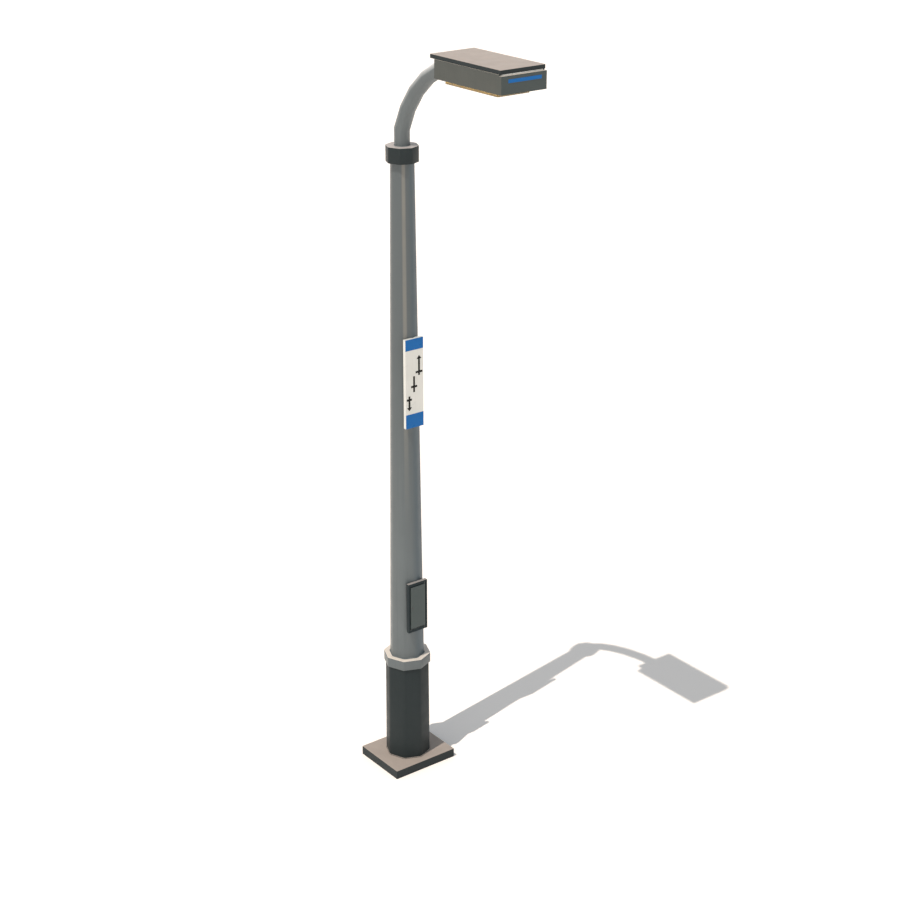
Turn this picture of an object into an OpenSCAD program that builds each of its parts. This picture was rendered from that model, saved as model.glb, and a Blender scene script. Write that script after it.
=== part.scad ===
// Street light: a tapered octagonal column on a base plate, with an access door, a sign and a
// bent arm that carries a flat LED head. Millimetres, +Z up, origin on the column's axis at the
// underside of the base plate, +X towards the head. Octagon sizes are radii to the corners.

/* [Base] */
// Base plate along X
plate_x = 418; // [350:1:560]
// Base plate along Y
plate_y = 494; // [350:1:640]
// Base plate thickness
plate_t = 64; // [20:1:100]
// Radius of the cable hole through the base plate
cable_hole_r = 30; // [15:0.5:60]
// The column's corners to the base sleeve's corners, at the sleeve's foot
sleeve_foot_gap = 28.4; // [20:0.2:60]
// The column's corners to the base sleeve's corners, at the sleeve's top
sleeve_top_gap = 32.6; // [20:0.2:60]
// Height of the base sleeve
sleeve_h = 699; // [400:1:900]
// Wall of the base sleeve
sleeve_wall = 8; // [3:0.5:12]
// How far the clamp ring's corners stand out past the sleeve's
ring_lip = 9; // [3:0.5:30]
// Height of the clamp ring
ring_h = 68; // [30:1:120]

/* [Column] */
// Corner radius of the column at the base plate
shaft_foot_r = 127.6; // [105:0.2:160]
// Corner radius of the column at its top
shaft_top_r = 77.6; // [70:0.2:95]
// Length of the column above the base plate
shaft_h = 4273; // [3600:1:5200]
// Wall of the column
shaft_wall = 5; // [3:0.5:8]
// The column's top corners to the top collar's corners
collar_side = 28.9; // [10:0.1:50]
// Height of the top collar
collar_h = 100; // [60:1:160]
// Thickness of the collar's closed top
collar_cap_t = 15; // [6:1:30]

/* [Access door] */
// Height of the door frame's lower edge above the base plate's top
door_rise = 981; // [800:1:1040]
// Door frame along Y
frame_w = 154; // [140:1:180]
// Door frame height
frame_h = 364; // [300:1:420]
// Door frame depth
frame_t = 24; // [22:0.5:30]
// How far the frame's face stands in front of the column's corner
frame_proud = 14.9; // [13:0.1:20]
// Width of the frame's side borders
frame_side = 11.5; // [10:0.5:20]
// Height of the frame's top and bottom borders
frame_rail = 21; // [16:0.5:40]
// Gap between the door leaf and its frame
leaf_gap = 6; // [6:0.5:9]
// Thickness of the door leaf
leaf_t = 6; // [6:0.5:7]
// How far the leaf stands proud of the frame
leaf_proud = 1.5; // [0:0.5:3]
// Radius of the hinge pins
hinge_pin_r = 2.5; // [1.5:0.1:2.8]
// Hand hole along Y
hand_hole_w = 100; // [70:1:108]
// Hand hole height
hand_hole_h = 290; // [200:1:300]
// Radius of the door lock
lock_r = 7; // [5:0.5:10]

/* [Sign] */
// Height of the sign's lower edge above the base plate's top
sign_rise = 2457; // [1700:1:2700]
// Sign width
sign_w = 140; // [120:1:200]
// Sign height
sign_h = 606; // [560:1:800]
// Depth of the sign's folded edges
sign_t = 24.5; // [20:0.5:40]
// Sheet thickness of the sign
sign_sheet = 2.5; // [1.5:0.5:4]
// How far the column's corner reaches into the sign's open back
sign_inset = 9; // [4:0.5:12]
// Height of the coloured band at the sign's top
band_top_h = 75; // [30:1:100]
// Height of the coloured band at the sign's foot
band_foot_h = 96; // [30:1:110]
// Thickness of the bands and marks on the sign
inlay_t = 0.8; // [0.5:0.1:2]
// Width of the bars that the marks are made of
mark_bar = 14; // [8:0.5:16]

/* [Arm] */
// Corner radius of the arm's tube
arm_r = 51; // [40:0.5:64]
// Wall of the arm's tube
arm_wall = 4; // [3:0.5:6]
// Height of the arm's upright stub above the collar
arm_stub = 100; // [60:1:250]
// Length of each sloping run of the arm
arm_run = 152; // [110:1:220]
// Number of full sloping runs
arm_runs = 4; // [2:1:4]
// First bend of the arm, degrees
first_bend = 25; // [15:1:30]
// Each further bend of the arm, degrees
next_bend = 12; // [8:0.5:12.5]
// Length of the last sloping run
arm_last_run = 103; // [80:1:200]
// Length of the arm's level end
arm_tail = 49; // [30:1:120]

/* [Head] */
// Length of the head's housing
housing_l = 617.5; // [560:0.5:800]
// Width of the housing
housing_w = 328; // [290:1:420]
// How far the housing reaches above and below the arm's corners
housing_cover = 1.75; // [1.5:0.25:30]
// Wall of the housing
housing_wall = 5; // [3:0.5:8]
// Width of the rim that the lid's seal lies on
rim_w = 24; // [20:1:40]
// Lid length
lid_l = 649; // [600:1:840]
// Lid width
lid_w = 324; // [290:1:420]
// Lid thickness
lid_t = 25; // [15:1:40]
// How far the lid reaches past the housing's rear wall
lid_rear = 43; // [20:1:60]
// Height of the seal, and of the rails that the lid rests on
seal_h = 7.5; // [3:0.5:12]
// Lens length
lens_l = 488; // [380:1:500]
// Lens width
lens_w = 234; // [180:1:260]
// Depth of the lens below its gasket
lens_h = 25.5; // [12:0.5:40]
// Distance from the housing's rear wall to the lens
lens_rear = 41; // [30:1:70]
// Length of the coloured strip on the housing's front
strip_w = 240; // [120:1:270]
// Height of the strip
strip_h = 20.5; // [8:0.5:40]

/* [Hidden] */
$fn = 48;

sides = 8;                          // the column, its sleeve, rings and arm are octagons
corner = 1 / cos(180 / sides);      // corner radius of an octagon for each mm across its flat
seat = 0.3;                         // clearance of pieces that slide over one another
over = 1;                           // how far a cut reaches past the face that it cuts

// Column
shaft_z0 = plate_t;
shaft_z1 = shaft_z0 + shaft_h;
function shaft_r(z) = shaft_foot_r + (shaft_top_r - shaft_foot_r) * (z - shaft_z0) / shaft_h;
ring_z0 = plate_t + sleeve_h;
sleeve_foot_r = shaft_foot_r + sleeve_foot_gap;
sleeve_top_r = shaft_r(ring_z0) + sleeve_top_gap;
ring_r = sleeve_top_r + ring_lip;
collar_r = shaft_top_r + collar_side;
collar_z1 = shaft_z1 + collar_cap_t;
collar_z0 = collar_z1 - collar_h;

// Door: its frame is notched round the column's front corner
frame_z0 = plate_t + door_rise;
frame_mid_z = frame_z0 + frame_h / 2;
section_margin = 20;                // how far the door section reaches past the frame
section_z0 = frame_z0 - section_margin;
section_z1 = frame_z0 + frame_h + section_margin;
frame_front = shaft_r(frame_z0) + frame_proud;
frame_back = frame_front - frame_t;
door_open_w = frame_w - 2 * frame_side;
door_open_h = frame_h - 2 * frame_rail;
leaf_w = door_open_w - 2 * leaf_gap;
leaf_h = door_open_h - 2 * leaf_gap;
leaf_front = frame_front + leaf_proud;
hinge_edge = 5;                     // hinge axis to the leaf's edge
hinge_x = leaf_front - leaf_t / 2;
hinge_y = leaf_w / 2 - hinge_edge;
pin_clearance = 0.08;
pin_reach = 10;                     // depth of the hinge holes in the frame
cheek_t = 6;
cheek_hole_gap = 10;                // hand hole to the cheeks beside it
cheek_rail_lap = 11;                // how far the cheeks lap the frame's top and bottom borders
cheek_depth = frame_w / 2;          // long enough to reach the column's side faces
lock_edge = 17;                     // lock axis to the leaf's free edge
lock_head = 1;
lock_behind = 8;
cam_w = 8;
cam_l = 30;
cam_t = 4;

// Sign: its back edges stand behind the column's front corner, which enters the open back
sign_z0 = plate_t + sign_rise;
sign_back = shaft_r(sign_z0 + sign_h / 2) - sign_inset;
sign_face = sign_back + sign_t;
notch_clearance = 2;
saddle_w = 84;
saddle_h = 40;
saddle_end = 90;                    // sign's end to the nearer saddle's middle
head_w = 39;                        // width across a mark's arrow head
head_h = 24;
mark_upper_at = [36, 353];          // foot of each mark's bar, across and above the sign's foot
mark_middle_at = [-4, 244];
mark_lower_at = [-42, 222];         // this one points down

// Arm: an upright stub, sloping runs that bend over by equal steps, and a level end
arm_inner_r = arm_r - arm_wall * corner;
arm_sunk = 100;                     // how far the arm reaches down into the column
arm_foot_z = shaft_z1 - arm_sunk;
function run_angle(k) = 90 - first_bend - (k - 1) * next_bend;
function arm_point(k) =
    k == 0 ? [0, collar_z1 + arm_stub]
           : arm_point(k - 1) + (k > arm_runs ? arm_last_run : arm_run)
               * [cos(run_angle(k)), sin(run_angle(k))];
arm_bends = [for (k = [0 : arm_runs + 1]) arm_point(k)];
arm_level = arm_bends[arm_runs + 1];
arm_route = concat([[0, arm_foot_z]], arm_bends, [arm_level + [arm_tail, 0]]);
tenon_r = arm_inner_r - 2 * seat;

// Head
housing_x0 = arm_level[0] + arm_tail;
housing_x1 = housing_x0 + housing_l;
housing_h = 2 * (arm_r + housing_cover);
housing_z0 = arm_level[1] - housing_h / 2;
housing_z1 = housing_z0 + housing_h;
rim_t = 5;
seal_inset = 16;
seal_w = 6;
lid_x0 = housing_x0 - lid_rear;
lid_z0 = housing_z1 + seal_h;
lid_top_t = 7;
rail_w = 8;                         // rails along the housing's sides, which the lid rests on
rail_end = 10;                      // lid's front edge to the rails' ends
lens_x0 = housing_x0 + lens_rear;
lens_wall = 3;
lens_corner_r = 8;
gasket_t = 3;
gasket_w = 12;
lens_z1 = housing_z0 - gasket_t;
window_edge = 20;                   // lens edge to the window in the housing's floor
tray_edge = 12;                     // how far the gear tray reaches past the window
tray_gap = 6;                       // gear tray to the arm's tenon
tray_t = 3;
board_t = 2.4;
board_gap = 6;                      // window edge to the board
strip_t = 1.2;
strip_shift = 6;                    // strip's middle from the head's middle plane
strip_drop = 21;                    // housing's top to the strip

dark = "#343a3d";
grey = "#767a7a";

module octagon_bar(r, h) {
    cylinder(r = r, h = h, $fn = sides);
}

module octagon_taper(r1, r2, h) {
    cylinder(r1 = r1, r2 = r2, h = h, $fn = sides);
}

// The column's outline between two heights, grown by `grow` over its flat faces
module shaft_outline(z0, z1, grow = 0) {
    translate([0, 0, z0])
        octagon_taper(shaft_r(z0) + grow * corner, shaft_r(z1) + grow * corner, z1 - z0);
}

module shaft_section(z0, z1) {
    difference() {
        shaft_outline(z0, z1);
        shaft_outline(z0 - over, z1 + over, -shaft_wall);
    }
}

// A block that is centred on Y and starts at x0, z0
module block(x0, z0, l, w, h) {
    translate([x0, -w / 2, z0]) cube([l, w, h]);
}

// A plate with round corners in plan, centred on Y
module round_plate(x0, z0, l, w, h, r) {
    block(x0 + r, z0, l - 2 * r, w, h);
    block(x0, z0, l, w - 2 * r, h);
    for (x = [x0 + r, x0 + l - r], y = [r - w / 2, w / 2 - r])
        translate([x, y, z0]) cylinder(r = r, h = h);
}

module base_plate() {
    color(dark) difference() {
        block(-plate_x / 2, 0, plate_x, plate_y, plate_t);
        translate([0, 0, -over]) cylinder(r = cable_hole_r, h = plate_t + 2 * over);
    }
}

module base_sleeve() {
    wall = sleeve_wall * corner;
    color(dark) translate([0, 0, plate_t]) difference() {
        octagon_taper(sleeve_foot_r, sleeve_top_r, sleeve_h);
        translate([0, 0, -over])
            octagon_taper(sleeve_foot_r - wall, sleeve_top_r - wall, sleeve_h + 2 * over);
    }
}

module sleeve_ring() {
    color(grey) difference() {
        translate([0, 0, ring_z0]) octagon_bar(ring_r, ring_h);
        shaft_outline(ring_z0 - over, ring_z0 + ring_h + over, seat);
    }
}

module shaft_foot() {
    color(grey) shaft_section(shaft_z0, section_z0);
}

module shaft_door_section() {
    color(grey) difference() {
        shaft_section(section_z0, section_z1);
        block(0, frame_mid_z - hand_hole_h / 2, frame_front, hand_hole_w, hand_hole_h);
    }
}

module shaft_upper() {
    color(grey) shaft_section(section_z1, shaft_z1);
}

module top_collar() {
    color(dark) difference() {
        translate([0, 0, collar_z0]) octagon_bar(collar_r, collar_h);
        shaft_outline(collar_z0 - over, shaft_z1, seat);
        translate([0, 0, shaft_z1 - over])
            octagon_bar(arm_r + seat * corner, collar_cap_t + 2 * over);
    }
}

// Two cheeks beside the hand hole that carry the frame's top and bottom borders
module door_surround() {
    h = door_open_h + 2 * cheek_rail_lap;
    color(grey) difference() {
        for (side = [0, 1]) mirror([0, side, 0])
            translate([frame_back - cheek_depth, hand_hole_w / 2 + cheek_hole_gap,
                       frame_mid_z - h / 2])
                cube([cheek_depth, cheek_t, h]);
        shaft_outline(frame_z0 - over, frame_z0 + frame_h + over, seat);
    }
}

module door_frame() {
    color(dark) difference() {
        block(frame_back, frame_z0, frame_t, frame_w, frame_h);
        block(frame_back - over, frame_mid_z - door_open_h / 2,
              frame_t + 2 * over, door_open_w, door_open_h);
        translate([hinge_x, hinge_y, frame_mid_z - door_open_h / 2 - pin_reach])
            cylinder(r = hinge_pin_r + pin_clearance, h = door_open_h + 2 * pin_reach);
        shaft_outline(frame_z0 - over, frame_z0 + frame_h + over, seat);
    }
}

module door_leaf() {
    color("#545c5c") difference() {
        block(leaf_front - leaf_t, frame_mid_z - leaf_h / 2, leaf_t, leaf_w, leaf_h);
        translate([leaf_front - leaf_t - over, lock_edge - leaf_w / 2, frame_mid_z])
            rotate([0, 90, 0]) cylinder(r = lock_r + seat, h = leaf_t + 2 * over);
    }
}

module door_hinge_pins() {
    pin_l = leaf_gap + pin_reach - seat;
    color("silver") for (side = [0, 1])
        translate([hinge_x, hinge_y, frame_mid_z])
            mirror([0, 0, side])
                translate([0, 0, leaf_h / 2]) cylinder(r = hinge_pin_r, h = pin_l);
}

module door_lock() {
    lock_l = leaf_t + lock_head + lock_behind;
    color("dimgray") translate([leaf_front + lock_head - lock_l, lock_edge - leaf_w / 2, frame_mid_z]) {
        rotate([0, 90, 0]) cylinder(r = lock_r, h = lock_l);
        translate([0, -cam_w / 2, -cam_l / 2]) cube([cam_t, cam_w, cam_l]);
    }
}

// A folded tray, open at the back, whose end flanges are notched round the column's corner
module sign_panel() {
    color("white") difference() {
        block(sign_back, sign_z0, sign_t, sign_w, sign_h);
        block(sign_back - over, sign_z0 + sign_sheet, sign_t - sign_sheet + over,
              sign_w - 2 * sign_sheet, sign_h - 2 * sign_sheet);
        shaft_outline(sign_z0 - over, sign_z0 + sign_h + over, notch_clearance);
    }
}

module sign_band(z0, h) {
    color("#2669a8") block(sign_face, z0, inlay_t, sign_w, h);
}

module sign_band_top() {
    sign_band(sign_z0 + sign_h - band_top_h, band_top_h);
}

module sign_band_foot() {
    sign_band(sign_z0, band_foot_h);
}

// A flat shape on the sign's face, with its X to the right and its Y up
module on_sign(at) {
    color("#2d2d28") translate([sign_face, at[0], sign_z0 + at[1]])
        rotate([90, 0, 90]) linear_extrude(inlay_t) children();
}

// A bar across a mark's shaft, at height y
module cross_bar(y, w) {
    translate([-w / 2, y - mark_bar / 2]) square([w, mark_bar]);
}

// An arrow from 0 up to its tip at h
module arrow(h) {
    half = mark_bar / 2;
    neck = h - head_h;
    polygon([[-half, 0], [half, 0], [half, neck], [head_w / 2, neck], [0, h],
             [-head_w / 2, neck], [-half, neck]]);
}

module sign_mark_upper() {
    on_sign(mark_upper_at) union() {
        arrow(135);
        cross_bar(23, 54);
    }
}

module sign_mark_middle() {
    on_sign(mark_middle_at) union() {
        translate([-mark_bar / 2, 0]) square([mark_bar, 108]);
        cross_bar(38, 48);
    }
}

module sign_mark_lower() {
    on_sign(mark_lower_at) mirror([0, 1]) union() {
        arrow(101);
        cross_bar(25, 40);
    }
}

// A block between the column's corner and the sign's face
module sign_saddle(z) {
    color(grey) difference() {
        block(0, z - saddle_h / 2, sign_face - sign_sheet, saddle_w, saddle_h);
        shaft_outline(z - saddle_h, z + saddle_h, seat);
    }
}

module sign_saddle_upper() {
    sign_saddle(sign_z0 + sign_h - saddle_end);
}

module sign_saddle_lower() {
    sign_saddle(sign_z0 + saddle_end);
}

// Direction of the route at its point i, halfway between the runs that meet there
function run_dir(i) = let (d = arm_route[i + 1] - arm_route[i]) d / norm(d);
function route_dir(i) =
    i == 0 ? run_dir(0)
    : i == len(arm_route) - 1 ? run_dir(i - 1)
    : let (d = run_dir(i - 1) + run_dir(i)) d / norm(d);
// A mitred joint is longer across than the tube is, by this ratio
function mitre(i) = i == 0 ? 1 : 1 / (route_dir(i) * run_dir(i - 1));
function arm_section(i, r) =
    let (p = arm_route[i], d = route_dir(i), m = mitre(i))
    [for (k = [0 : sides - 1])
        let (a = r * m * cos(k * 360 / sides), b = r * sin(k * 360 / sides))
        [p[0] - d[1] * a, -b, p[1] + d[0] * a]];

// A closed bar with mitred bends along the arm's route, each end moved on by `extra`
module arm_bar(r, extra = 0) {
    n = len(arm_route);
    last = n - 1;
    sections = [for (i = [0 : last])
        let (move = i == 0 ? -extra : i == last ? extra : 0, d = route_dir(i) * move)
        [for (q = arm_section(i, r)) q + [d[0], 0, d[1]]]];
    points = [for (s = sections) each s];
    walls = [for (i = [0 : last - 1], k = [0 : sides - 1])
        let (a = i * sides + k, b = i * sides + (k + 1) % sides)
        [a, a + sides, b + sides, b]];
    foot = [[for (k = [0 : sides - 1]) k]];
    end = [[for (k = [sides - 1 : -1 : 0]) last * sides + k]];
    polyhedron(points, concat(foot, walls, end));
}

module arm_tube() {
    color(grey) difference() {
        arm_bar(arm_r);
        arm_bar(arm_inner_r, over);
    }
}

// The tube that joins the arm's level end to the housing
module arm_tenon() {
    x0 = arm_level[0] + arm_r / 4;
    l = lens_x0 + window_edge - tray_edge - tray_gap - x0;
    color("silver") translate([x0, 0, arm_level[1]]) rotate([0, 90, 0]) difference() {
        octagon_bar(tenon_r, l);
        translate([0, 0, -over]) octagon_bar(tenon_r - arm_wall * corner, l + 2 * over);
    }
}

module window(z0, h, edge = 0) {
    block(lens_x0 + window_edge - edge, z0, lens_l - 2 * (window_edge - edge),
          lens_w - 2 * (window_edge - edge), h);
}

module lid_rail() {
    translate([housing_x0, housing_w / 2 - rail_w, housing_z1 - over])
        cube([lid_x0 + lid_l - rail_end - housing_x0, rail_w, seal_h + over]);
}

module housing() {
    inner_l = housing_l - 2 * housing_wall;
    inner_w = housing_w - 2 * housing_wall;
    color("#626460") difference() {
        union() {
            block(housing_x0, housing_z0, housing_l, housing_w, housing_h);
            lid_rail();
            mirror([0, 1, 0]) lid_rail();
        }
        block(housing_x0 + housing_wall, housing_z0 + housing_wall, inner_l, inner_w,
              housing_h - housing_wall - rim_t);
        block(housing_x0 + rim_w, housing_z0 + housing_wall, housing_l - 2 * rim_w,
              housing_w - 2 * rim_w, housing_h);
        window(housing_z0 - over, housing_wall + 2 * over);
        translate([housing_x0 - over, 0, arm_level[1]]) rotate([0, 90, 0])
            octagon_bar(tenon_r + seat * corner, housing_wall + 2 * over);
    }
}

module lid_seal() {
    l = housing_l - 2 * seal_inset;
    w = housing_w - 2 * seal_inset;
    color("gainsboro") difference() {
        block(housing_x0 + seal_inset, housing_z1, l, w, seal_h);
        block(housing_x0 + seal_inset + seal_w, housing_z1 - over, l - 2 * seal_w,
              w - 2 * seal_w, seal_h + 2 * over);
    }
}

module lid() {
    hollow_inset = seal_inset + seal_w;
    color(dark) difference() {
        block(lid_x0, lid_z0, lid_l, lid_w, lid_t);
        block(housing_x0 + hollow_inset, lid_z0 - over, housing_l - 2 * hollow_inset,
              housing_w - 2 * hollow_inset, lid_t - lid_top_t + over);
    }
}

module gear_tray() {
    color("silver") window(housing_z0 + housing_wall, tray_t, tray_edge);
}

module led_board() {
    color("whitesmoke")
        window(housing_z0 + housing_wall - board_t, board_t, -board_gap);
}

module lens_gasket() {
    color("#202020") difference() {
        round_plate(lens_x0, lens_z1, lens_l, lens_w, gasket_t, lens_corner_r);
        block(lens_x0 + gasket_w, lens_z1 - over, lens_l - 2 * gasket_w, lens_w - 2 * gasket_w,
              gasket_t + 2 * over);
    }
}

module lens() {
    color("#c8963c", 0.6) difference() {
        round_plate(lens_x0, lens_z1 - lens_h, lens_l, lens_w, lens_h, lens_corner_r);
        round_plate(lens_x0 + lens_wall, lens_z1 - lens_h + lens_wall, lens_l - 2 * lens_wall,
                    lens_w - 2 * lens_wall, lens_h, lens_corner_r - lens_wall);
    }
}

module front_strip() {
    color("#2669a8")
        translate([0, strip_shift, 0])
            block(housing_x1, housing_z1 - strip_drop - strip_h, strip_t, strip_w, strip_h);
}

base_plate();
base_sleeve();
sleeve_ring();
shaft_foot();
shaft_door_section();
shaft_upper();
top_collar();
door_surround();
door_frame();
door_leaf();
door_hinge_pins();
door_lock();
sign_panel();
sign_band_top();
sign_band_foot();
sign_mark_upper();
sign_mark_middle();
sign_mark_lower();
sign_saddle_upper();
sign_saddle_lower();
arm_tube();
arm_tenon();
housing();
lid();
lid_seal();
gear_tray();
led_board();
lens_gasket();
lens();
front_strip();
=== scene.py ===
"""Looks of a street light: finishes, welds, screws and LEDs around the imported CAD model."""
import math

import bmesh
import bpy
from mathutils import Matrix, Vector


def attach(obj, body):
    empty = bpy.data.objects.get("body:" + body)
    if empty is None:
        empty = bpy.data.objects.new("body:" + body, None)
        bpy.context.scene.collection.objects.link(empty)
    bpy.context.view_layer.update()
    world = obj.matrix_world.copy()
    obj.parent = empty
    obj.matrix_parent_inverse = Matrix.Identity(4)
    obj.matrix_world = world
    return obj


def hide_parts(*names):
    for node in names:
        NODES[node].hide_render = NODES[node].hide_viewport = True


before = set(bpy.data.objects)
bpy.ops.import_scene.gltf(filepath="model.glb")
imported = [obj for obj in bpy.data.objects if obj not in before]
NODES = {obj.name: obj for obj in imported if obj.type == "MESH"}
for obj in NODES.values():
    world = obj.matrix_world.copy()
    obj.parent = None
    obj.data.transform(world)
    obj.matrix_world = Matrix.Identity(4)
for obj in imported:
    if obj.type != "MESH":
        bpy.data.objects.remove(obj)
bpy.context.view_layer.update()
COLUMN, DOOR = "column", "door"
SIDES = 8                             # the column, its rings and its arm are octagons
FLAT = math.cos(math.pi / SIDES)      # an octagon's flat radius for each metre of corner radius
ARC = 4                               # steps round each of the column's corners
SHALLOW = math.radians(40)            # added pieces shade smoothly across edges below this
Z = Vector((0, 0, 1))

# Sizes and places from the CAD model, in metres
COLUMN_Z0, COLUMN_Z1 = 0.064, 4.337
COLUMN_FOOT_R, COLUMN_TOP_R = 0.1276, 0.0776
COLUMN_WALL = 0.005
COLUMN_BEND, SLEEVE_BEND = 0.012, 0.014   # how far each rounded corner reaches along the flats
RING_BEND, COLLAR_BEND, ARM_BEND = 0.003, 0.008, 0.007
HOLE_Z0, HOLE_Z1, HOLE_W = 1.082, 1.372, 0.100
SLEEVE_FOOT_R = 0.156
RING_R, RING_TOP = 0.1610, 0.831
COLLAR_R, COLLAR_FOOT, COLLAR_TOP = 0.1065, 4.252, 4.352
ARM_R = 0.051
BACK_FLAT = 3                         # the octagon's flat between 135 and 180 degrees
SCREW_FLATS = (2, 4)                  # the flats on each side of BACK_FLAT
DOOR_Z = 1.227
LEAF_W, LEAF_H, LEAF_BACK = 0.119, 0.310, 0.12652
LOCK_FACE, LOCK_Y = 0.13352, -0.0425
HOUSING_X0, HOUSING_Z0 = 0.5509, 4.8619
LENS_X0, LENS_L, LENS_W = 0.5919, 0.488, 0.234
BOARD_X0, BOARD_L, BOARD_W, BOARD_Z = 0.6179, 0.436, 0.182, 4.8645
LED_COLUMNS, LED_ROWS = 16, 6
CLIPS_A_SIDE, CLIP_SHEET = 4, 0.0018

# Colours, linear
DARK = (0.025, 0.033, 0.035)
DARK_FRAME = (0.018, 0.028, 0.032)
GREY = (0.137, 0.156, 0.162)
# painted highlight: a narrow lighter band on the column near its top
HIGHLIGHT_GREY = (0.245, 0.236, 0.212)
# painted shade: the column's side away from the sun takes this cooler, darker grey
SHADE_SIDE_GREY = (0.098, 0.128, 0.145)
HOUSING = (0.078, 0.084, 0.076)
# painted shade: the housing's faces towards +X take this darker, cooler grey
HOUSING_FRONT_SHADE = (0.060, 0.076, 0.075)
PANEL = (0.066, 0.085, 0.084)
SIGN_WHITE = (0.76, 0.755, 0.71)
BLUE = (0.0015, 0.132, 0.420)
BLACK = (0.008, 0.008, 0.007)
STEEL = (0.45, 0.46, 0.47)
DARK_STEEL = (0.10, 0.105, 0.11)
SHEET_METAL = (0.6, 0.6, 0.6)
RUBBER = (0.018, 0.018, 0.019)
AMBER = (0.74, 0.58, 0.27)
BOARD = (0.72, 0.73, 0.70)
CHIP = (0.030, 0.030, 0.032)
DOME = (0.85, 0.60, 0.12)
# Painted light: lighter colours that faces looking up take, standing in for light falling on them
# from above
LIT_TOP_PLATE = (0.435, 0.360, 0.310)
LIT_TOP_FRAME = (0.33, 0.30, 0.28)
LIT_TOP_COLLAR = (0.49, 0.435, 0.41)
LIT_TOP_LID = (0.475, 0.395, 0.345)
LIT_TOP_GREY = (0.80, 0.70, 0.61)
LIT_TOP_ARM = (0.72, 0.71, 0.70)
# Painted light: the lid seal's pale colour stands in for a lit strip under the lid's front
SEAL_PAINTED_LIGHT = (0.80, 0.79, 0.76)
FLOOR = (1.265, 1.15, 1.07)
SUN = (1.0, 0.955, 0.89)
FILL = (1.0, 0.97, 0.92)
SKY_NEAR = (0.98, 1.0, 0.98)          # towards -Y
SKY_FAR = (0.57, 0.71, 0.86)          # towards +Y
SKY_STRENGTH = 0.49


# ---------------------------------------------------------------- camera, lights, floor

def make_camera():
    """A camera on the object's front right, above it, aimed a little below mid-height."""
    azimuth, elevation = math.radians(52.75), math.radians(22.40)
    distance, lens = 12.019, 73.22
    right = Vector((math.cos(azimuth), math.sin(azimuth), 0))
    back = Vector((math.sin(azimuth) * math.cos(elevation),
                   -math.cos(azimuth) * math.cos(elevation), math.sin(elevation)))
    target = right * 0.2946 + Z * 2.3249
    data = bpy.data.cameras.new("camera")
    data.lens, data.sensor_width = lens, 36     # in millimetres
    camera = bpy.data.objects.new("camera", data)
    camera.location = target + back * distance
    camera.rotation_mode = "QUATERNION"
    camera.rotation_quaternion = (-back).to_track_quat("-Z", "Y")
    bpy.context.scene.collection.objects.link(camera)
    bpy.context.scene.camera = camera


def make_sun(name, energy, spread, colour, heading):
    """A distant light, `spread` degrees wide, that shines along `heading`."""
    data = bpy.data.lights.new(name, "SUN")
    data.energy, data.angle, data.color = energy, math.radians(spread), colour
    sun = bpy.data.objects.new(name, data)
    sun.rotation_mode = "QUATERNION"
    sun.rotation_quaternion = Vector(heading).to_track_quat("-Z", "Y")
    bpy.context.scene.collection.objects.link(sun)


def make_sky():
    """A pale sky, cooler and dimmer towards +Y, and white for the camera and for reflections."""
    world = bpy.data.worlds.new("sky")
    bpy.context.scene.world = world
    world.use_nodes = True
    tree = world.node_tree
    tree.nodes.clear()
    sky, white = (tree.nodes.new("ShaderNodeBackground") for _ in range(2))
    coords = tree.nodes.new("ShaderNodeTexCoord")
    parts = tree.nodes.new("ShaderNodeSeparateXYZ")
    ramp = tree.nodes.new("ShaderNodeMapRange")
    ramp.inputs["From Min"].default_value = -1
    tone = tree.nodes.new("ShaderNodeMix")
    tone.data_type = "RGBA"
    tone.inputs[6].default_value = (*SKY_NEAR, 1)
    tone.inputs[7].default_value = (*SKY_FAR, 1)
    tree.links.new(coords.outputs["Generated"], parts.inputs[0])
    tree.links.new(parts.outputs["Y"], ramp.inputs["Value"])
    tree.links.new(ramp.outputs[0], tone.inputs[0])
    tree.links.new(tone.outputs[2], sky.inputs["Color"])
    sky.inputs["Strength"].default_value = SKY_STRENGTH
    path = tree.nodes.new("ShaderNodeLightPath")
    mix = tree.nodes.new("ShaderNodeMixShader")
    out = tree.nodes.new("ShaderNodeOutputWorld")
    seen = path.outputs["Is Camera Ray"]
    for ray in ("Is Glossy Ray", "Is Transmission Ray"):
        either = tree.nodes.new("ShaderNodeMath")
        either.operation = "MAXIMUM"
        tree.links.new(seen, either.inputs[0])
        tree.links.new(path.outputs[ray], either.inputs[1])
        seen = either.outputs[0]
    tree.links.new(seen, mix.inputs[0])
    tree.links.new(sky.outputs[0], mix.inputs[1])
    tree.links.new(white.outputs[0], mix.inputs[2])
    white.inputs["Color"].default_value = (1, 1, 1, 1)
    tree.links.new(mix.outputs[0], out.inputs["Surface"])


def make_floor():
    """A matt pale floor, which keeps the lamp's shadow."""
    bm = bmesh.new()
    bmesh.ops.create_grid(bm, x_segments=1, y_segments=1, size=150)
    mesh = bpy.data.meshes.new("floor")
    bm.to_mesh(mesh)
    bm.free()
    floor = bpy.data.objects.new("floor", mesh)
    bpy.context.scene.collection.objects.link(floor)
    mat = bpy.data.materials.new("floor")
    mat.use_nodes = True
    shader = mat.node_tree.nodes["Principled BSDF"]
    shader.inputs["Base Color"].default_value = (*FLOOR, 1)
    shader.inputs["Roughness"].default_value = 1.0
    shader.inputs["Specular IOR Level"].default_value = 0.0
    mesh.materials.append(mat)


# ---------------------------------------------------------------- materials

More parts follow.
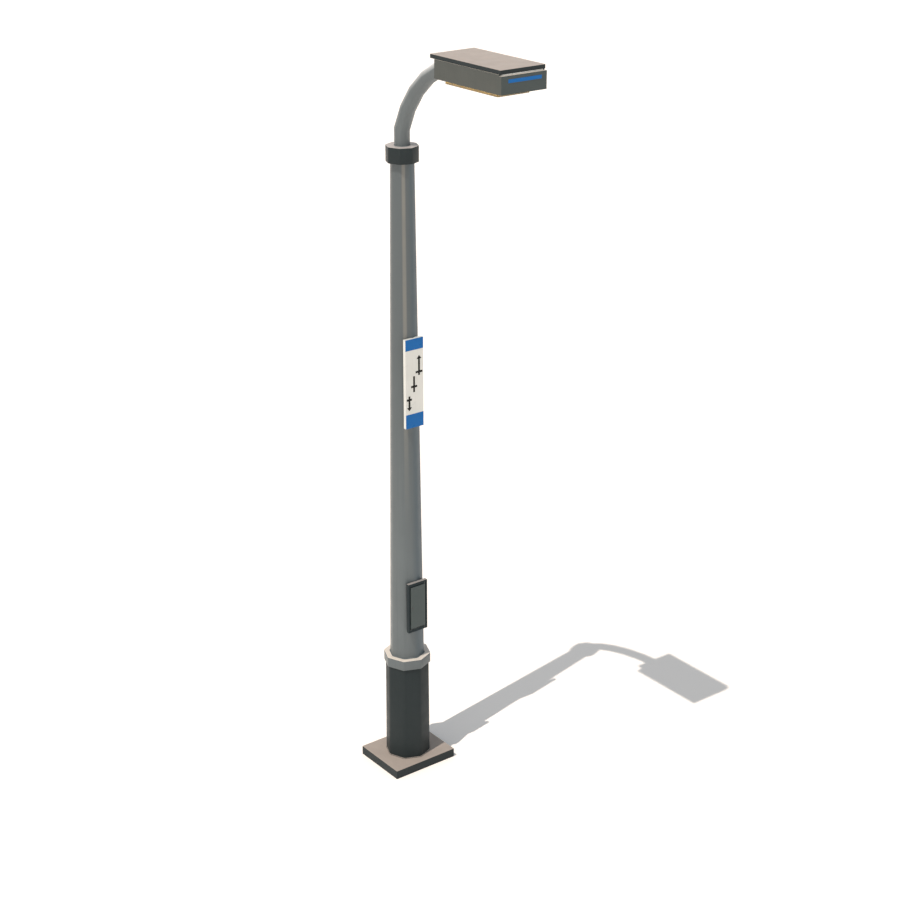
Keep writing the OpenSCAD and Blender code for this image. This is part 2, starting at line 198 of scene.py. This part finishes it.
class Graph:
    """Short names for building a material's node tree."""

    def __init__(self, name):
        self.mat = bpy.data.materials.new(name)
        self.mat.use_nodes = True
        self.tree = self.mat.node_tree
        self.shader = self.tree.nodes["Principled BSDF"]

    def add(self, kind, **settings):
        node = self.tree.nodes.new("ShaderNode" + kind)
        for key, value in settings.items():
            setattr(node, key, value)
        return node

    def link(self, source, target):
        self.tree.links.new(source, target)

    def fill(self, socket, value):
        """Gives a socket a number or a colour, or links another socket to it."""
        if isinstance(value, tuple):
            socket.default_value = (*value, 1)
        elif isinstance(value, (int, float)):
            socket.default_value = value
        else:
            self.link(value, socket)

    def position(self, stretch=(1, 1, 1)):
        """Object position in metres, each axis multiplied."""
        coords = self.add("TexCoord")
        mapping = self.add("Mapping")
        mapping.inputs["Scale"].default_value = stretch
        self.link(coords.outputs["Object"], mapping.inputs["Vector"])
        return mapping.outputs[0]

    def noise(self, scale, detail=3.0, stretch=(1, 1, 1), roughness=0.5):
        """Noise with `scale` cells to the metre."""
        node = self.add("TexNoise")
        node.inputs["Scale"].default_value = scale
        node.inputs["Detail"].default_value = detail
        node.inputs["Roughness"].default_value = roughness
        self.link(self.position(stretch), node.inputs["Vector"])
        return node.outputs[0]

    def spread(self, value, low, high, to_low=0.0, to_high=1.0, smooth=False):
        """Maps low..high to to_low..to_high, clamped."""
        node = self.add("MapRange")
        node.interpolation_type = "SMOOTHSTEP" if smooth else "LINEAR"
        for key, number in (("From Min", low), ("From Max", high),
                            ("To Min", to_low), ("To Max", to_high)):
            node.inputs[key].default_value = number
        self.link(value, node.inputs["Value"])
        return node.outputs[0]

    def math(self, operation, a, b):
        node = self.add("Math", operation=operation)
        self.fill(node.inputs[0], a)
        self.fill(node.inputs[1], b)
        return node.outputs[0]

    def mix(self, factor, a, b):
        """Mixes two colours; each is a tuple or a socket."""
        node = self.add("Mix", data_type="RGBA")
        for number, value in ((0, factor), (6, a), (7, b)):
            self.fill(node.inputs[number], value)
        return node.outputs[2]

    def facing(self, axis, low, high):
        """1 on faces that look along `axis`, 0 on faces that look across it."""
        geometry = self.add("NewGeometry")
        parts = self.add("SeparateXYZ")
        self.link(geometry.outputs["Normal"], parts.inputs[0])
        return self.spread(parts.outputs[axis], low, high, smooth=True)

    def bump(self, height, strength, distance):
        node = self.add("Bump")
        node.inputs["Strength"].default_value = strength
        node.inputs["Distance"].default_value = distance
        self.link(height, node.inputs["Height"])
        self.link(node.outputs[0], self.shader.inputs["Normal"])

    def set(self, **values):
        """Fills the shader's sockets, each named with _ for a space."""
        for key, value in values.items():
            self.fill(self.shader.inputs[key.replace("_", " ")], value)


def shade(colour, factor):
    return tuple(c * factor for c in colour)


def uneven(g, scale, detail, low, high):
    """A number that wanders between `low` and `high`."""
    return g.spread(g.noise(scale, detail), 0.3, 0.7, low, high)


def mottled(g, colour, scale, detail, low, high):
    """A colour that wanders between `low` and `high` times itself."""
    return g.mix(uneven(g, scale, detail, 0, 1), shade(colour, low), shade(colour, high))


def column_highlight_and_shade(g, tone):
    """Adds to the column's colour: darker towards its top, a narrow painted highlight band towards
    its top, and painted shade, a cooler, darker tone, on the side away from the sun."""
    band_at, band_core, band_end = math.radians(-31), math.radians(4), math.radians(12)
    shade_from, shade_to = math.radians(-18), math.radians(14)
    parts = g.add("SeparateXYZ")
    g.link(g.position(), parts.inputs[0])
    angle = g.math("ARCTAN2", parts.outputs["Y"], parts.outputs["X"])
    away = g.math("ABSOLUTE", g.math("SUBTRACT", angle, band_at), 0)
    band = g.spread(away, band_core, band_end, 1, 0, smooth=True)
    height = g.spread(parts.outputs["Z"], 1.7, 3.0, 0, 0.75, smooth=True)
    patchy = g.spread(g.noise(6, 4), 0.2, 0.6, 0.75, 1.0)
    band = g.math("MULTIPLY", band, g.math("MULTIPLY", height, patchy))
    # darker towards the top
    upper_darkening = g.spread(parts.outputs["Z"], 1.4, 3.2, 0, 0.8, smooth=True)
    tone = g.mix(upper_darkening, tone, shade(GREY, 0.82))
    # painted shade on the side away from the sun
    shaded_side = g.spread(angle, shade_from, shade_to, 0, 1, smooth=True)
    tone = g.mix(shaded_side, tone, SHADE_SIDE_GREY)
    # painted highlight: the band takes a lighter grey
    return g.mix(band, tone, HIGHLIGHT_GREY)


def painted(name, colour, lit_top=None, roughness=0.48, specular=0.3, up=(0.25, 0.85), front=None,
            light_and_shade=None):
    """Powder coat: fine orange peel, faint rain streaks, and painted light on faces that look up: a
    lighter colour, mottled and with darker specks, which comes in as the normal's Z goes from the
    first to the second number in `up`. The colour given for faces towards +X is painted shade, and
    the function given last adds to the colour."""
    dirt = 0.08
    g = Graph(name)
    streaks = g.noise(1.0, 5, stretch=(55, 55, 1.6), roughness=0.6)
    specks = g.noise(260, 2)
    tone = mottled(g, colour, 2.2, 4, 1 - dirt, 1 + dirt)
    tone = g.mix(g.spread(streaks, 0.52, 0.75, 0, 0.55), tone, shade(colour, 1 - 2.2 * dirt))
    tone = g.mix(g.spread(specks, 0.62, 0.72, 0, 0.35), tone, shade(colour, 1 + 2.5 * dirt))
    if light_and_shade:
        tone = light_and_shade(g, tone)
    # painted shade: faces towards +X take the given darker colour
    if front:
        tone = g.mix(g.facing("X", 0.6, 0.9), tone, front)
    # painted light: faces that look up take the given lighter colour, mottled and with darker
    # specks
    if lit_top:
        top_light = mottled(g, lit_top, 9, 5, 0.94, 1.06)
        top_light = g.mix(g.spread(g.noise(420, 2), 0.6, 0.75, 0, 0.5), top_light, shade(lit_top, 0.80))
        tone = g.mix(g.facing("Z", *up), tone, top_light)
    peel = g.noise(650, 2)
    rough = g.spread(g.noise(14, 4), 0.25, 0.75, roughness - 0.07, roughness + 0.09)
    g.set(Base_Color=tone, Roughness=rough, Specular_IOR_Level=specular)
    g.bump(peel, 0.25, 0.0004)
    return g.mat


def enamel(name, colour, specular=0.4):
    """Enamelled sheet: smooth, a little uneven in tone and gloss, with faint rain streaks."""
    g = Graph(name)
    streaks = g.spread(g.noise(1, 5, stretch=(90, 90, 4)), 0.56, 0.8, 0, 0.4)
    tone = g.mix(streaks, mottled(g, colour, 5, 4, 0.95, 1.04), shade(colour, 0.86))
    g.set(Base_Color=tone, Roughness=uneven(g, 30, 3, 0.26, 0.40), Specular_IOR_Level=specular)
    g.bump(g.noise(40, 2), 0.06, 0.0008)
    return g.mat


def galvanised(name, colour=STEEL):
    """Zinc spangle: flat crystals a few millimetres wide, each with its own tone and gloss."""
    g = Graph(name)
    cells = g.add("TexVoronoi")
    cells.inputs["Scale"].default_value = 160
    g.link(g.position(), cells.inputs["Vector"])
    parts = g.add("SeparateColor")
    g.link(cells.outputs["Color"], parts.inputs[0])
    tone = g.mix(parts.outputs[0], shade(colour, 0.82), shade(colour, 1.12))
    g.set(Base_Color=tone, Metallic=0.85, Roughness=g.spread(parts.outputs[1], 0, 1, 0.36, 0.56))
    g.bump(g.noise(500, 2), 0.12, 0.0003)
    return g.mat


def rubber(name, colour=RUBBER):
    """Rubber, silicone or sealant: matt, blotchy and finely grained."""
    g = Graph(name)
    g.set(Base_Color=mottled(g, colour, 30, 4, 0.8, 1.35), Roughness=uneven(g, 60, 3, 0.7, 0.85),
          Specular_IOR_Level=0.3)
    g.bump(g.noise(900, 2), 0.3, 0.0003)
    return g.mat


def amber_lens(name):
    """Amber moulded polycarbonate: ribbed to spread the light, a little cloudy."""
    g = Graph(name)
    ribs = g.add("TexWave", wave_type="BANDS", bands_direction="Y")
    ribs.inputs["Scale"].default_value = 14
    g.link(g.position(), ribs.inputs["Vector"])
    g.set(Base_Color=mottled(g, AMBER, 12, 3, 0.92, 1.06), Roughness=uneven(g, 25, 3, 0.04, 0.09),
          Transmission_Weight=0.9, IOR=1.5)
    g.bump(ribs.outputs["Fac"], 0.12, 0.0010)
    return g.mat


def plain(name, colour, roughness, metallic=0.0):
    """A small inner part: a touch of grain in tone and surface."""
    g = Graph(name)
    g.set(Base_Color=mottled(g, colour, 300, 3, 0.9, 1.08), Metallic=metallic,
          Roughness=uneven(g, 75, 3, roughness - 0.05, roughness + 0.05))
    g.bump(g.noise(600, 2), 0.15, 0.0003)
    return g.mat


# ---------------------------------------------------------------- modifiers for the CAD nodes

def mesh_group(name):
    """An empty geometry node group with its input and output nodes."""
    group = bpy.data.node_groups.new(name, "GeometryNodeTree")
    for side in ("INPUT", "OUTPUT"):
        group.interface.new_socket("Geometry", in_out=side, socket_type="NodeSocketGeometry")
    return group, group.nodes.new("NodeGroupInput"), group.nodes.new("NodeGroupOutput")


def cleaning_group():
    """Geometry nodes that join a CAD mesh's split faces and shade it smooth."""
    group, start, end = mesh_group("join_faces")
    merge = group.nodes.new("GeometryNodeMergeByDistance")
    merge.inputs["Distance"].default_value = 1e-5
    normals = group.nodes.new("GeometryNodeSetMeshNormal")
    group.links.new(start.outputs[0], merge.inputs["Geometry"])
    group.links.new(merge.outputs[0], normals.inputs["Mesh"])
    group.links.new(normals.outputs[0], end.inputs[0])
    return group


def marking_group(name, attribute, kind, middle, reach):
    """Geometry nodes that mark the edges whose faces turn by `middle` degrees, give or take
    `reach`."""
    group, start, end = mesh_group(name)
    angle = group.nodes.new("GeometryNodeInputMeshEdgeAngle")
    inside = group.nodes.new("ShaderNodeMath")
    inside.operation = "COMPARE"
    inside.inputs[1].default_value = math.radians(middle)
    inside.inputs[2].default_value = math.radians(reach)
    store = group.nodes.new("GeometryNodeStoreNamedAttribute")
    store.data_type, store.domain = kind, "EDGE"
    store.inputs["Name"].default_value = attribute
    group.links.new(angle.outputs["Unsigned Angle"], inside.inputs[0])
    group.links.new(start.outputs[0], store.inputs["Geometry"])
    group.links.new(inside.outputs[0], store.inputs["Value"])
    group.links.new(store.outputs[0], end.inputs[0])
    return group


def soften(node, edge, corner=0.0):
    """Rounds a CAD node's sharp edges by `edge`, in metres, and an octagon's corners by `corner`.

    An octagon's flats are left to shade softly into its rounded corners."""
    node.modifiers.new("clean", "NODES").node_group = CLEAN
    flat = node.modifiers.new("flat", "DECIMATE")
    flat.decimate_type, flat.angle_limit = "DISSOLVE", math.radians(0.6)
    if corner:
        node.modifiers.new("mark", "NODES").node_group = CORNERS
        bend = node.modifiers.new("bend", "BEVEL")
        bend.limit_method, bend.width, bend.segments = "WEIGHT", corner, 2
    if edge:
        bevel = node.modifiers.new("edges", "BEVEL")
        bevel.limit_method, bevel.angle_limit = "ANGLE", math.radians(60)
        bevel.width, bevel.segments = edge, 3
    node.modifiers.new("crisp", "NODES").node_group = CRISP
    if not corner:
        node.modifiers.new("shading", "WEIGHTED_NORMAL").keep_sharp = True


def finish_node(name, material, **rounding):
    node = NODES[name]
    node.data.materials.clear()
    node.data.materials.append(material)
    soften(node, **rounding)


# ---------------------------------------------------------------- mesh helpers

def piece(name, bm, material, body=COLUMN):
    """Makes an object from `bm`, shades it smooth across shallow edges, and rides it on `body`."""
    bmesh.ops.recalc_face_normals(bm, faces=bm.faces)
    for face in bm.faces:
        face.smooth = True
    for edge in bm.edges:
        edge.smooth = len(edge.link_faces) == 2 and edge.calc_face_angle(0) < SHALLOW
    mesh = bpy.data.meshes.new(name)
    bm.to_mesh(mesh)
    bm.free()
    mesh.materials.append(material)
    obj = bpy.data.objects.new(name, mesh)
    bpy.context.scene.collection.objects.link(obj)
    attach(obj, body)
    return obj


def polygon_radius(angle, corner_radius, sides):
    """Radius of a regular polygon at `angle`; with no sides it's a circle."""
    if not sides:
        return corner_radius
    step = 2 * math.pi / sides
    return corner_radius * math.cos(step / 2) / math.cos(angle % step - step / 2)


def turned(bm, at, along, loops, count=24):
    """A closed solid of revolution at `at` along `along`; each loop is (radius, height, sides)."""
    turn = Vector(along).to_track_quat("Z", "Y").to_matrix().to_4x4()
    place = Matrix.Translation(at) @ turn
    rings = []
    for radius, height, sides in loops:
        ring = []
        for i in range(count):
            angle = 2 * math.pi * i / count
            reach = polygon_radius(angle, radius, sides)
            point = Vector((reach * math.cos(angle), reach * math.sin(angle), height))
            ring.append(bm.verts.new(place @ point))
        rings.append(ring)
    for low, high in zip(rings, rings[1:]):
        for i in range(count):
            bm.faces.new((low[i - 1], low[i], high[i], high[i - 1]))
    bm.faces.new(reversed(rings[0]))
    bm.faces.new(rings[-1])


def socket_screw(bm, at, along, radius, height):
    """A cap screw: a chamfered head with a hexagon socket, its foot a little below the surface."""
    socket, depth, chamfer = radius * 0.56, height * 0.6, radius * 0.12
    turned(bm, at, along, (
        (radius, -0.002, 0), (radius, height - chamfer, 0), (radius - chamfer, height, 0),
        (socket * 1.12, height, 6), (socket, height - 0.0006, 6), (socket, height - depth, 6)))


def sweep(bm, path, radius, closed=True, ripple=0.0, pitch=0.005, count=8):
    """A round bead along `path`; weld scales, one each `pitch`, lower it by up to `ripple` of its
    radius."""
    rings, run, total = [], 0.0, len(path)
    for i, point in enumerate(path):
        before = path[i - 1] if closed or i else point
        after = path[(i + 1) % total] if closed or i < total - 1 else point
        ahead = (after - before).normalized()
        side = ahead.cross(Z if abs(ahead.z) < 0.9 else Vector((1, 0, 0))).normalized()
        up = side.cross(ahead)
        run += (point - path[i - 1]).length if i else 0.0
        bead = radius * (1 - ripple * (run / pitch % 1))
        ring = [bm.verts.new(point + bead * (math.cos(a) * side + math.sin(a) * up))
                for a in (2 * math.pi * k / count for k in range(count))]
        rings.append(ring)
    pairs = list(zip(rings, rings[1:])) + ([(rings[-1], rings[0])] if closed else [])
    for low, high in pairs:
        for k in range(count):
            bm.faces.new((low[k - 1], low[k], high[k], high[k - 1]))
    if not closed:
        bm.faces.new(rings[0])
        bm.faces.new(rings[-1])


def divided(path, step, closed=True):
    """The path with extra points, no more than `step` apart."""
    result = []
    ends = path[1:] + path[:1] if closed else path[1:]
    for start, end in zip(path, ends):
        parts = max(1, math.ceil((end - start).length / step))
        result += [start.lerp(end, k / parts) for k in range(parts)]
    return result if closed else result + [path[-1]]


def octagon_path(corner_radius, z, bend):
    """A level octagon whose corners are rounded over `bend` of each side."""
    path, turn = [], math.pi / SIDES
    for k in range(SIDES):
        angle = 2 * math.pi * k / SIDES
        corner = Vector((corner_radius * math.cos(angle), corner_radius * math.sin(angle), z))
        before = corner + bend * Vector((math.sin(angle - turn), -math.cos(angle - turn), 0))
        after = corner + bend * Vector((-math.sin(angle + turn), math.cos(angle + turn), 0))
        for share in (j / ARC for j in range(ARC + 1)):
            first, second = before.lerp(corner, share), corner.lerp(after, share)
            path.append(first.lerp(second, share))
    return path


def column_radius(z):
    """The tapered column's corner radius at `z`."""
    share = (z - COLUMN_Z0) / (COLUMN_Z1 - COLUMN_Z0)
    return COLUMN_FOOT_R + (COLUMN_TOP_R - COLUMN_FOOT_R) * share


def flat_normal(k):
    """Outward direction of the octagon's flat number `k`, counted from +X towards +Y."""
    angle = (k + 0.5) * 2 * math.pi / SIDES
    return Vector((math.cos(angle), math.sin(angle), 0))


# ---------------------------------------------------------------- added pieces

def column_ring(z, corner_radius, bend, hole_y):
    """The column's outline at `z`, with a point on each side of its front corner at `hole_y`."""
    path = octagon_path(corner_radius, z, bend)
    front = ARC + 1                       # the front corner's own points come first
    x = corner_radius - hole_y * math.tan(math.pi / SIDES)
    return path[:front] + [Vector((x, hole_y, z))] + path[front:] + [Vector((x, -hole_y, z))]


def add_column():
    """The column in one length, with rounded corners and its hand hole, in place of the CAD's three
    lengths."""
    bm, outer, inner = bmesh.new(), [], []
    for z in (COLUMN_Z0, HOLE_Z0, HOLE_Z1, COLUMN_Z1):
        radius = column_radius(z)
        bore = radius - COLUMN_WALL / FLAT
        hole_y = HOLE_W / 2 if z in (HOLE_Z0, HOLE_Z1) else 0.4 * radius
        outer.append([bm.verts.new(v) for v in column_ring(z, radius, COLUMN_BEND, hole_y)])
        inner.append([bm.verts.new(v) for v in column_ring(z, bore, COLUMN_BEND * 0.8, hole_y)])
    foot, hole_foot, hole_top, top = range(4)     # the numbers of the rings
    count = len(outer[0])
    left, right = count - 1, ARC + 1              # the points beside the hand hole

    def across(ring, i, j):
        """The face through the wall from point `i` to point `j` of a ring."""
        bm.faces.new((outer[ring][i], outer[ring][j], inner[ring][j], inner[ring][i]))

    for ring in (foot, hole_foot, hole_top):
        for i in range(count):
            j = (i + 1) % count
            if ring == hole_foot and (i == left or i < right):
                across(hole_foot, i, j)
                across(hole_top, i, j)
                continue
            for wall in (outer, inner):
                low, high = wall[ring], wall[ring + 1]
                bm.faces.new((low[i], low[j], high[j], high[i]))
    for i in (left, right):
        edge = outer[hole_foot][i], outer[hole_top][i], inner[hole_top][i], inner[hole_foot][i]
        bm.faces.new(edge)
    for ring in (foot, top):
        for i in range(count):
            across(ring, i, (i + 1) % count)
    column = piece("column", bm, column_grey)
    shade_round(column.data)
    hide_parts("shaft_foot", "shaft_door_section", "shaft_upper")


def shade_round(mesh):
    """Turns the outer wall's normals most of the way to a round column's, so that the octagon
    shades softly."""
    roundness, outward = 0.8, 0.8
    normals = []
    for face in mesh.polygons:
        for corner in face.vertices:
            out = Vector((*mesh.vertices[corner].co.xy, 0)).normalized()
            on_outer_wall = face.normal.dot(out) > outward
            turned_out = face.normal.lerp(out, roundness).normalized()
            normals.append(turned_out if on_outer_wall else face.normal)
    mesh.normals_split_custom_set(normals)


def add_beads():
    """Sealant where the column leaves its ring and the arm its collar, and the weld round the
    sleeve's foot."""
    for name, radius, z, bend, bead in (
            ("column_sealant", column_radius(RING_TOP), RING_TOP, COLUMN_BEND, 0.0055),
            ("arm_sealant", ARM_R, COLLAR_TOP, ARM_BEND, 0.0035)):
        bm = bmesh.new()
        sweep(bm, octagon_path(radius, z, bend), bead)
        piece(name, bm, sealant)
    bm = bmesh.new()
    path = octagon_path(SLEEVE_FOOT_R, COLUMN_Z0 + 0.001, SLEEVE_BEND)
    sweep(bm, divided(path, 0.0017), 0.004, ripple=0.16)
    piece("sleeve_foot_weld", bm, dark)


def add_seam():
    """The column's long seam, on the flat that faces away from the head."""
    out = flat_normal(BACK_FLAT)
    low, high = RING_TOP + 0.004, COLLAR_FOOT - 0.002
    ends = [out * column_radius(z) * FLAT + Z * z for z in (low, high)]
    bm = bmesh.new()
    sweep(bm, divided(ends, 0.004, closed=False), 0.0028, closed=False, ripple=0.22, pitch=0.008)
    piece("column_seam", bm, grey)


def add_ring_screws():
    """Set screws through the clamp ring and the top collar, on the flats away from the front."""
    for name, corner_radius, z, radius in (
            ("ring_screws", RING_R, RING_TOP - 0.034, 0.009),
            ("collar_screws", COLLAR_R, COLLAR_TOP - 0.062, 0.008)):
        bm = bmesh.new()
        for flat in SCREW_FLATS:
            out = flat_normal(flat)
            socket_screw(bm, out * corner_radius * FLAT + Z * z, out, radius, 0.005)
        piece(name, bm, dark_steel)


def add_door_parts():
    """The leaf's rubber seal, the lock's three-sided key and the earth stud on the leaf's back."""
    inset, stud_height = 0.007, 0.04
    x, y, z = LEAF_BACK - 0.001, LEAF_W / 2 - inset, LEAF_H / 2 - inset
    corners = [Vector((x, side * y, DOOR_Z + end * z))
               for side, end in ((-1, -1), (1, -1), (1, 1), (-1, 1))]
    bm = bmesh.new()
    sweep(bm, divided(corners, 0.02), 0.0022)
    piece("door_seal", bm, seal, DOOR)
    bm = bmesh.new()
    face = Vector((LOCK_FACE, LOCK_Y, DOOR_Z))
    turned(bm, face, (1, 0, 0), (
        (0.0062, -0.0006, 0), (0.0062, 0.0005, 0), (0.0052, 0.0008, 0),
        (0.0046, 0.0008, 3), (0.0044, -0.0003, 3)))
    piece("lock_key_socket", bm, dark_steel, DOOR)
    bm = bmesh.new()
    stud, washer = Vector((LEAF_BACK, 0, DOOR_Z - LEAF_H / 2 + stud_height)), 0.0012
    turned(bm, stud, (-1, 0, 0), (
        (0.007, -0.001, 0), (0.007, washer, 0), (0.0034, 0.0014, 0),
        (0.0034, 0.016, 0), (0.0026, 0.0172, 0)))
    turned(bm, stud - Vector((washer, 0, 0)), (-1, 0, 0), (
        (0.0066, 0, 6), (0.0066, 0.0048, 6), (0.0058, 0.0054, 0)))
    piece("door_earth_stud", bm, zinc, DOOR)


def add_leds():
    """Rows of LED packages with clear domes on the underside of the board."""
    package = ((0.0052, -0.0002, 4), (0.0052, 0.0011, 4), (0.0046, 0.0014, 4))
    dome = [(0.0032 * math.cos(a), 0.0012 + 0.0026 * math.sin(a), 0)
            for a in (math.radians(d) for d in (0, 25, 50, 75))]
    bm_body, bm_dome = bmesh.new(), bmesh.new()
    for i in range(LED_COLUMNS):
        for j in range(LED_ROWS):
            x = BOARD_X0 + BOARD_L * (i + 0.5) / LED_COLUMNS
            y = BOARD_W * ((j + 0.5) / LED_ROWS - 0.5)
            at = Vector((x, y, BOARD_Z))
            turned(bm_body, at, -Z, package, count=8)
            turned(bm_dome, at, -Z, dome, count=12)
    piece("led_packages", bm_body, chip_black)
    piece("led_domes", bm_dome, dome_yellow)


def add_head_parts():
    """Screws and clips that hold the lens and the arm's tenon, and a breather, all under the
    housing."""
    bm_clip, bm_screw = bmesh.new(), bmesh.new()
    for side in (-1, 1):
        for k in range(CLIPS_A_SIDE):
            x = LENS_X0 + LENS_L * (k + 0.5) / CLIPS_A_SIDE
            y = side * (LENS_W / 2 + 0.013)
            clip(bm_clip, x, y, side)
            socket_screw(bm_screw, Vector((x, y, HOUSING_Z0 - CLIP_SHEET)), -Z, 0.005, 0.004)
    for y in (-0.03, 0.03):
        at = Vector((HOUSING_X0 + 0.02, y, HOUSING_Z0))
        socket_screw(bm_screw, at, -Z, 0.0075, 0.007)
    piece("lens_clips", bm_clip, zinc)
    piece("head_screws", bm_screw, zinc)
    bm = bmesh.new()
    turned(bm, Vector((HOUSING_X0 + 0.021, 0.09, HOUSING_Z0)), -Z, (
        (0.011, -0.001, 0), (0.011, 0.003, 0), (0.0095, 0.0035, 6), (0.0095, 0.0085, 6),
        (0.0075, 0.0100, 0), (0.003, 0.0105, 0)))
    piece("head_breather", bm, seal)


def clip(bm, x, y, side):
    """A small folded clip whose foot is screwed to the housing and whose lip holds the lens's
    edge."""
    half_width, foot, fold, drop, lip, t = 0.012, 0.010, 0.0055, 0.010, 0.006, CLIP_SHEET
    outline = [(-foot, 0), (fold, 0), (fold, -drop), (fold + lip, -drop),
               (fold + lip, -drop - t), (fold - t, -drop - t), (fold - t, -t), (-foot, -t)]
    low, high = ([bm.verts.new((x + dx, y - side * a, HOUSING_Z0 + b)) for a, b in outline]
                 for dx in (-half_width, half_width))
    for i in range(len(outline)):
        bm.faces.new((low[i - 1], low[i], high[i], high[i - 1]))
    bm.faces.new(low)
    bm.faces.new(reversed(high))


# ---------------------------------------------------------------- run

make_camera()
make_sun("sun", 2.2, 0.35, SUN, (-0.095, 0.466, -1))
make_sun("low_fill", 0.42, 9, FILL, (-0.62, 0.79, -0.015))    # a soft streak on upright corners
make_sky()
make_floor()
CLEAN = cleaning_group()
CORNERS = marking_group("mark_corners", "bevel_weight_edge", "FLOAT", 45, 8)    # the octagons'
CRISP = marking_group("mark_crisp", "sharp_edge", "BOOLEAN", 112, 72)           # all above 40

# The dark paints are one paint in copies that differ in the painted light on their upward faces;
# the grey paints and the housing paint also take painted light on faces that look up
dark = painted("dark_paint", DARK, LIT_TOP_PLATE, specular=0.15)
dark_collar = painted("dark_paint_collar", DARK, LIT_TOP_COLLAR, roughness=0.40, specular=0.15)
dark_lid = painted("dark_paint_lid", DARK, LIT_TOP_LID, specular=0.15)
dark_frame = painted("dark_paint_frame", DARK_FRAME, LIT_TOP_FRAME, specular=0.12)
grey = painted("grey_paint", GREY, LIT_TOP_GREY, roughness=0.38, specular=0.25)
column_grey = painted("grey_paint_column", GREY, LIT_TOP_GREY, roughness=0.38, specular=0.25,
                      light_and_shade=column_highlight_and_shade)
# painted highlight: the arm's upper faces take a near-white band
arm_grey = painted("grey_paint_arm", GREY, LIT_TOP_ARM, roughness=0.38, specular=0.25,
                   up=(0.12, 0.62))
housing_paint = painted("housing_paint", HOUSING, LIT_TOP_GREY, up=(0.85, 0.98), front=HOUSING_FRONT_SHADE)
panel_paint = painted("door_paint", PANEL)
white_enamel = enamel("sign_white", SIGN_WHITE)
blue_enamel = enamel("sign_blue", BLUE, specular=0.22)
black_enamel = enamel("sign_black", BLACK, specular=0.15)
dark_steel = galvanised("dark_steel", DARK_STEEL)
zinc = galvanised("zinc")
seal = rubber("seal_rubber")
silicone = rubber("seal_silicone", SEAL_PAINTED_LIGHT)
lens_glass = amber_lens("lens_amber")
board_white = plain("board_white", BOARD, 0.5)
sheet_metal = plain("tray_metal", SHEET_METAL, 0.4, metallic=0.8)
chip_black = plain("led_black", CHIP, 0.45)
dome_yellow = plain("led_dome", DOME, 0.15)
sealant = rubber("sealant", shade(GREY, 0.95))

finish_node("base_plate", dark, edge=0.003)
finish_node("base_sleeve", dark, edge=0.0015, corner=SLEEVE_BEND)
finish_node("sleeve_ring", grey, edge=0.002, corner=RING_BEND)
finish_node("top_collar", dark_collar, edge=0.002, corner=COLLAR_BEND)
finish_node("door_surround", dark_steel, edge=0.001)
finish_node("door_frame", dark_frame, edge=0.0015)
finish_node("door_leaf", panel_paint, edge=0.0015)
finish_node("door_hinge_pins", dark_steel, edge=0.0004)
finish_node("door_lock", dark_steel, edge=0.0006)
finish_node("sign_panel", white_enamel, edge=0.0008)
for part in ("sign_band_top", "sign_band_foot"):
    finish_node(part, blue_enamel, edge=0.0002)
for part in ("sign_mark_upper", "sign_mark_middle", "sign_mark_lower"):
    finish_node(part, black_enamel, edge=0.0002)
for part in ("sign_saddle_upper", "sign_saddle_lower"):
    finish_node(part, zinc, edge=0.001)
finish_node("arm_tube", arm_grey, edge=0, corner=ARM_BEND)
finish_node("arm_tenon", zinc, edge=0.0006)
finish_node("housing", housing_paint, edge=0.002)
finish_node("lid", dark_lid, edge=0.002)
# the seal's pale colour is painted light for the strip under the lid's front
finish_node("lid_seal", silicone, edge=0.0008)
finish_node("gear_tray", sheet_metal, edge=0.0005)
finish_node("led_board", board_white, edge=0.0003)
finish_node("lens_gasket", seal, edge=0.0006)
finish_node("lens", lens_glass, edge=0.001)
finish_node("front_strip", blue_enamel, edge=0.0003)

add_column()
add_beads()
add_seam()
add_ring_screws()
add_door_parts()
add_leds()
add_head_parts()

bpy.context.scene.view_settings.view_transform = "Standard"
